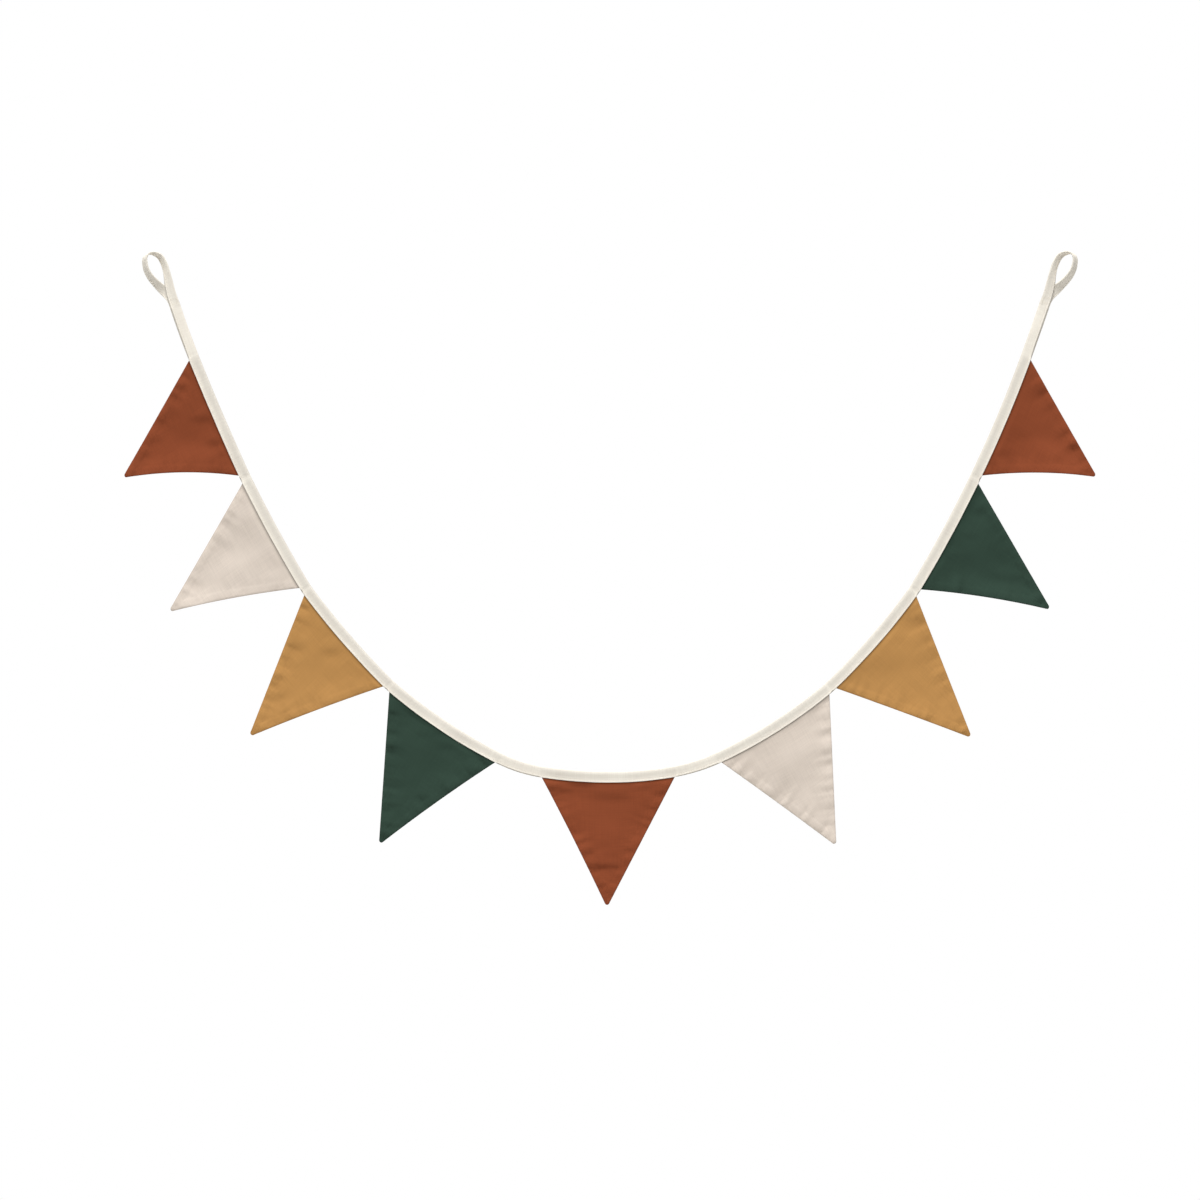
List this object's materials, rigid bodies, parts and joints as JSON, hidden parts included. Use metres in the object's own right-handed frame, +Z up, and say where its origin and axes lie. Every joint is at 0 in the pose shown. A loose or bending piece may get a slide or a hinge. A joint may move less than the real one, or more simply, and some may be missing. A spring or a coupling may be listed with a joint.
{
  "type": "fabric bunting",
  "caption": "Hanging swag of triangular cotton pennants in rust, sand, mustard and green, sewn into a folded cream tape with a hanging loop at each end.",
  "frame": {"origin": "where the left hanging loop bears on its hook, at the top inside of the loop", "axes": "+X from the left loop to the right one as seen from the front, +Y back towards the wall, +Z up"},
  "size_m": [1.1199, 0.0383, 0.7552],
  "materials": {
    "tape_cotton": "matt folded cotton tape, cream",
    "rust_cotton": "matt plain-woven cotton, rust brown",
    "sand_cotton": "matt plain-woven cotton, pale sand",
    "mustard_cotton": "matt plain-woven cotton, mustard",
    "green_cotton": "matt plain-woven cotton, dark green"
  },
  "bodies": {
    "root": {"loop_left": "tape_cotton", "loop_right": "tape_cotton", "pennant_1_rust": "rust_cotton", "pennant_2_sand": "sand_cotton", "pennant_3_mustard": "mustard_cotton", "pennant_4_green": "green_cotton", "pennant_5_rust": "rust_cotton", "pennant_6_sand": "sand_cotton", "pennant_7_mustard": "mustard_cotton", "pennant_8_green": "green_cotton", "pennant_9_rust": "rust_cotton", "tape": "tape_cotton"}
  },
  "joints": []
}
